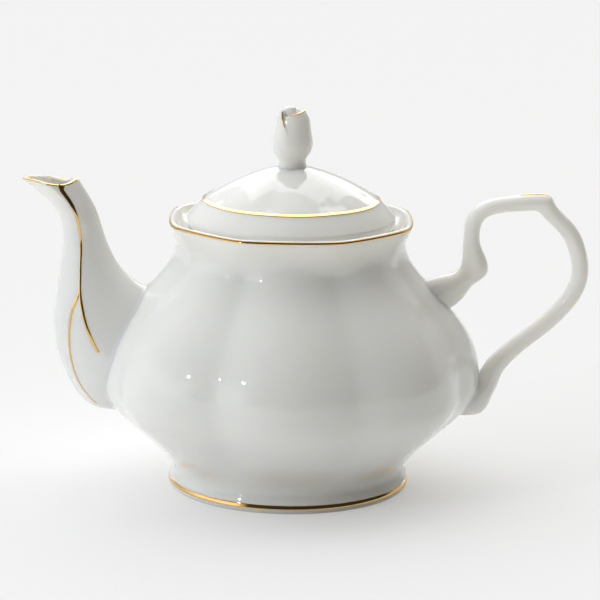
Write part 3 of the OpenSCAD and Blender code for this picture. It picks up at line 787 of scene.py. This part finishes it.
def lipGold():
    g, s = goldLine, spoutShape
    lays = [(0.2, -0.35), (0.12, -0.3), (0.16, 0.0), (0.4, 0.14), (0.75, g["thick"]),
            (1.15, g["thick"]), (1.35, g["thick"] * 0.6), (1.4, -0.05)]
    rings = [[spoutPlace(i * 360 / s["sides"], spoutEnd, inset) + Vector((0, 0, up))
              for i in range(s["sides"])] for inset, up in lays]
    piece = ringLoft("spoutLipGold", rings, close=True)
    return finishPiece(piece, "pot", "spout_lip_gilding", 50)


def thumbGold():
    steps, marks = goldLine["steps"], []
    for i in range(steps + 1):
        t = mix(7.25, 8.05, i / steps)  # along the handle, over the thumb rest
        run = (handlePlace(0, t + 0.02) - handlePlace(0, t - 0.02)).normalized()
        marks.append((handlePlace(0, t), Vector((0, 1, 0)), Vector((-run.z, 0, run.x)),
                      goldLine["width"] / 2 * math.sin(math.pi * mix(0.15, 0.85, i / steps))))
    return finishPiece(goldStrip("thumbGold", marks), "pot", "handle_gilding", 50)


def knobGold():
    # one line up the front petal's free edge and one along the next petal's top
    k, g, steps = budShape, goldLine, goldLine["steps"]
    start = k["turn"] - 120
    edge = []
    for i in range(steps + 1):
        t = mix(0.68, 0.915, i / steps)
        angle = start - k["lean"] * t - 4
        edge.append((budPlace(angle, t), polar(1, angle + 90, 0),
                     polar(1, angle, 0), g["width"] / 5 * mix(0.5, 1, min(1, i / 8))))
    top = []
    for i in range(steps + 1):
        angle = start - k["lean"] * k["top"] + mix(34, 108, i / steps)
        t = budTop(angle)
        top.append((polar(budRadius(angle, t) - 0.45, angle, lidTop + k["height"] * t + 0.15),
                    polar(1, angle, 0), Vector((0, 0, 1)), g["width"] / 3))
    strips = [goldStrip("edge", edge), goldStrip("top", top)]
    return finishPiece(joinAll("knobGold", strips), "lid", "knob_gilding", 50)


goldPieces = [rimGold(), footGold(), lidGold(), stemGold(), lipGold(), thumbGold(),
              knobGold()]
print("gold", sum(len(piece.data.polygons) for piece in goldPieces))


# glaze and gold

class Socket:
    # wraps a node socket so that shader maths reads as plain maths
    def __init__(self, tree, out):
        self.tree, self.out = tree, out

    def node(self, kind, settings=None, inputs=None, output=0):
        made = self.tree.nodes.new(kind)
        for key, value in (settings or {}).items():
            if key == "stops":
                ramp = made.color_ramp
                while len(ramp.elements) > len(value):
                    ramp.elements.remove(ramp.elements[-1])
                while len(ramp.elements) < len(value):
                    ramp.elements.new(0.5)
                for element, (place, colour) in zip(ramp.elements, value):
                    element.position, element.color = place, colour
            else:
                setattr(made, key, value)
        for key, value in (inputs or {}).items():
            target = made.inputs[key]
            if isinstance(value, Socket):
                self.tree.links.new(value.out, target)
            else:
                target.default_value = value
        return Socket(self.tree, made.outputs[output])

    def maths(self, operation, a, b):
        return self.node("ShaderNodeMath", {"operation": operation}, {0: a, 1: b})

    def __add__(self, other):
        return self.maths("ADD", self, other)

    def __radd__(self, other):
        return self.maths("ADD", other, self)

    def __mul__(self, other):
        return self.maths("MULTIPLY", self, other)

    def __rmul__(self, other):
        return self.maths("MULTIPLY", other, self)

    def blend(self, colourA, colourB):
        # from the first colour to the second as this value goes from 0 to 1
        return self.node("ShaderNodeMix", {"data_type": "RGBA"},
                         {0: self, 6: colourA, 7: colourB}, output=2)


def newMaterial(name, settings):
    made = bpy.data.materials.new(name)
    made.use_nodes = True
    tree = made.node_tree
    shader = tree.nodes["Principled BSDF"]
    for key, value in settings.items():
        shader.inputs[key].default_value = value
    coordinates = tree.nodes.new("ShaderNodeTexCoord")
    return made, shader, Socket(tree, coordinates.outputs["Object"])


def feed(shader, name, value):
    value.tree.links.new(value.out, shader.inputs[name])


glazeLook = {
    "white": (0.84, 0.836, 0.81, 1), "warm": (0.83, 0.82, 0.78, 1), "clouds": 22,
    "roughness": 0.055, "spread": 0.03, "grain": 160, "ior": 1.52,
    "waviness": 0.02, "waves": 45, "waveDepth": 0.002,
    "glow": 0.5, "glowColours": (1.0, 0.9, 0.7), "glowDepth": 0.005,
}


def makeGlaze():
    g = glazeLook
    made, shader, place = newMaterial("glazedChina", {
        "Roughness": g["roughness"], "IOR": g["ior"], "Subsurface Weight": g["glow"],
        "Subsurface Radius": g["glowColours"], "Subsurface Scale": g["glowDepth"]})
    clouds = place.node("ShaderNodeTexNoise", None, {
        "Vector": place, "Scale": g["clouds"], "Detail": 3, "Roughness": 0.5})
    feed(shader, "Base Color", clouds.blend(g["white"], g["warm"]))
    grain = place.node("ShaderNodeTexNoise", None, {
        "Vector": place, "Scale": g["grain"], "Detail": 2})
    feed(shader, "Roughness", grain * g["spread"] + (g["roughness"] - g["spread"] / 2))
    waves = place.node("ShaderNodeTexNoise", None, {
        "Vector": place, "Scale": g["waves"], "Detail": 1})
    feed(shader, "Normal", place.node("ShaderNodeBump", None, {
        "Strength": g["waviness"], "Distance": g["waveDepth"], "Height": waves}))
    return made


goldLook = {
    "colour": (0.86, 0.60, 0.24, 1), "deep": (0.70, 0.42, 0.14, 1), "patches": 90,
    "roughness": 0.06, "wear": 0.04, "brush": 420, "brushing": 0.05, "brushDepth": 0.0004,
}


def makeGold():
    g = goldLook
    made, shader, place = newMaterial("firedGold", {
        "Metallic": 1.0, "Roughness": g["roughness"]})
    worn = place.node("ShaderNodeTexNoise", None, {
        "Vector": place, "Scale": g["patches"], "Detail": 4, "Roughness": 0.6})
    feed(shader, "Base Color", worn.blend(g["colour"], g["deep"]))
    feed(shader, "Roughness", worn * g["wear"] + (g["roughness"] - g["wear"] / 2))
    brushed = place.node("ShaderNodeTexNoise", None, {
        "Vector": place, "Scale": g["brush"], "Detail": 2})
    feed(shader, "Normal", place.node("ShaderNodeBump", None, {
        "Strength": g["brushing"], "Distance": g["brushDepth"], "Height": brushed}))
    return made


glaze = makeGlaze()
gilt = makeGold()


def dress(piece, material):
    piece.data.materials.clear()
    piece.data.materials.append(material)


for piece in (bodyPiece, spoutPiece, handlePiece, lidPiece, knobPiece):
    dress(piece, glaze)
for piece in goldPieces:
    dress(piece, gilt)
for name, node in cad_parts.items():
    dress(node, gilt if name.endswith("gilding") else glaze)
print("materials done")


# room

roomLook = {
    "floor": (0.90, 0.90, 0.90, 1), "floorRoughness": 0.6, "size": 8,
    "backdrop": (0.93, 0.93, 0.93, 1), "share": 0.35,
    # colours of the studio walls round the pot, by degrees from +X: the light that
    # they give, and what glaze and gold mirror
    "walls": [
        (-180, (0.50, 0.535, 0.57)), (-140, (0.53, 0.56, 0.59)), (-120, (0.12, 0.12, 0.11)),
        (-90, (0.08, 0.07, 0.055)), (-45, (0.02, 0.018, 0.012)), (15, (0.015, 0.015, 0.012)),
        (32, (0.225, 0.21, 0.165)), (60, (0.40, 0.38, 0.32)), (90, (0.84, 0.86, 0.87)),
        (135, (0.22, 0.215, 0.21)), (180, (0.50, 0.535, 0.57))],
    "mirrored": [
        (-180, (0.55, 0.56, 0.56)), (-140, (0.55, 0.56, 0.56)), (-128, (0.03, 0.027, 0.023)),
        (-90, (0.015, 0.013, 0.01)), (15, (0.015, 0.015, 0.012)), (32, (0.22, 0.21, 0.20)),
        (60, (0.16, 0.16, 0.16)), (90, (0.22, 0.23, 0.24)), (135, (0.17, 0.175, 0.18)),
        (180, (0.55, 0.56, 0.56))],
    "fadeFrom": 0.25, "fadeTo": 0.5, "fade": 0.85, "above": (0.02, 0.018, 0.015, 1),
    "ceiling": (0.62, 0.62, 0.61, 1), "ceilingBack": 0.5, "ceilingUp": 0.86,
    "ceilingFrom": 0.45, "ceilingFull": 0.95, "level": 2.5,
}

softboxLook = {"place": (0.02, 1.15, 1.05), "aim": (0, 0, 0.1), "size": (1.15, 1.35),
               "power": 8, "colour": (0.95, 0.98, 1.0)}
keyLook = {"place": (-1.02, -0.885, 0.72), "aim": (0, 0, 0.08), "size": (0.035, 0.035),
           "power": 1.8, "colour": (1, 1, 1)}


def areaLight(name, look):
    data = bpy.data.lights.new(name, "AREA")
    data.shape = "RECTANGLE"
    data.size, data.size_y = look["size"]
    data.energy, data.color = look["power"], look["colour"]
    lamp = bpy.data.objects.new(name, data)
    bpy.context.scene.collection.objects.link(lamp)
    lamp.location = look["place"]
    way = Vector(look["aim"]) - Vector(look["place"])
    lamp.rotation_euler = way.to_track_quat("-Z", "Y").to_euler()
    lamp.visible_camera = False
    return lamp


def makeWorld():
    # studio walls: bright behind and to the left, dim towards the viewer and the right
    w = roomLook
    world = bpy.data.worlds.new("studio")
    bpy.context.scene.world = world
    world.use_nodes = True
    tree = world.node_tree
    back = tree.nodes["Background"]
    way = Socket(tree, tree.nodes.new("ShaderNodeTexCoord").outputs["Generated"])
    axes = way.node("ShaderNodeSeparateXYZ", None, {0: way}).out.node.outputs
    x, y, z = (Socket(tree, axis) for axis in axes)
    turn = y.node("ShaderNodeMath", {"operation": "ARCTAN2"}, {0: y, 1: x})
    around = turn * (0.5 / math.pi) + 0.5

    def wallRamp(stops):
        return around.node("ShaderNodeValToRGB", {
            "stops": [(place / 360 + 0.5, (*colour, 1)) for place, colour in stops]},
            {0: around})

    # mirrored walls fade out above the eye, so gold and glaze go dark there
    dark = z.node("ShaderNodeMapRange", None, {
        0: z, 1: w["fadeFrom"], 2: w["fadeTo"], 3: 0.0, 4: w["fade"]})
    mirrored = dark.blend(wallRamp(w["mirrored"]), w["above"])
    walls = z.node("ShaderNodeLightPath", output="Is Glossy Ray").blend(
        wallRamp(w["walls"]), mirrored)
    up = z.node("ShaderNodeMapRange", {"interpolation_type": "SMOOTHSTEP"}, {
        0: y * w["ceilingBack"] + z * w["ceilingUp"],
        1: w["ceilingFrom"], 2: w["ceilingFull"], 3: 0.0, 4: 1.0})
    tree.links.new(up.blend(walls, w["ceiling"]).out, back.inputs["Color"])
    back.inputs["Strength"].default_value = w["level"]


def makeFloor():
    w = roomLook
    deselectAll()
    bpy.ops.mesh.primitive_plane_add(size=w["size"], location=(0, 0, 0))
    floor = bpy.context.object
    floor.name = "floor"
    made, shader, place = newMaterial("paleFloor", {
        "Roughness": w["floorRoughness"], "Specular IOR Level": 0.0,
        "Base Color": w["floor"]})
    # eye and mirrors see a share of even backdrop in the floor, so its shadow is soft
    tree = made.node_tree
    camera, glossy, through = [
        place.node("ShaderNodeLightPath", output=name)
        for name in ("Is Camera Ray", "Is Glossy Ray", "Is Transmission Ray")]
    even = place.node("ShaderNodeEmission", None, {"Color": w["backdrop"]})
    seen = place.node("ShaderNodeMixShader", None, {
        0: (camera + glossy + through) * w["share"],
        1: Socket(tree, shader.outputs[0]), 2: even})
    tree.links.new(seen.out, tree.nodes["Material Output"].inputs["Surface"])
    dress(floor, made)


makeFloor()
makeWorld()
softbox = areaLight("backSoftbox", softboxLook)
softbox.visible_diffuse = False  # it shows only as a reflection in the glaze
areaLight("keyLamp", keyLook)
print("room done")


# camera

cameraLook = {"place": (0, -1.290, 0.3776), "aim": (0, 0, 0.07032),
              "lens": 191.71, "roll": 0.013,
              "shiftX": (300 - 289.97) / 600, "shiftY": (317.59 - 300) / 600}


def makeCamera():
    c = cameraLook
    data = bpy.data.cameras.new("camera")
    data.lens = c["lens"]
    data.sensor_width = 36
    data.shift_x, data.shift_y = c["shiftX"], c["shiftY"]
    data.clip_start, data.clip_end = 0.05, 30
    camera = bpy.data.objects.new("camera", data)
    bpy.context.scene.collection.objects.link(camera)
    way = Vector(c["aim"]) - Vector(c["place"])
    look = way.to_track_quat("-Z", "Y").to_matrix().to_4x4()
    camera.matrix_world = (Matrix.Translation(c["place"]) @ look
                           @ Matrix.Rotation(c["roll"], 4, "Z"))
    bpy.context.scene.camera = camera


makeCamera()
bpy.context.scene.view_settings.view_transform = "Standard"
print("camera done")
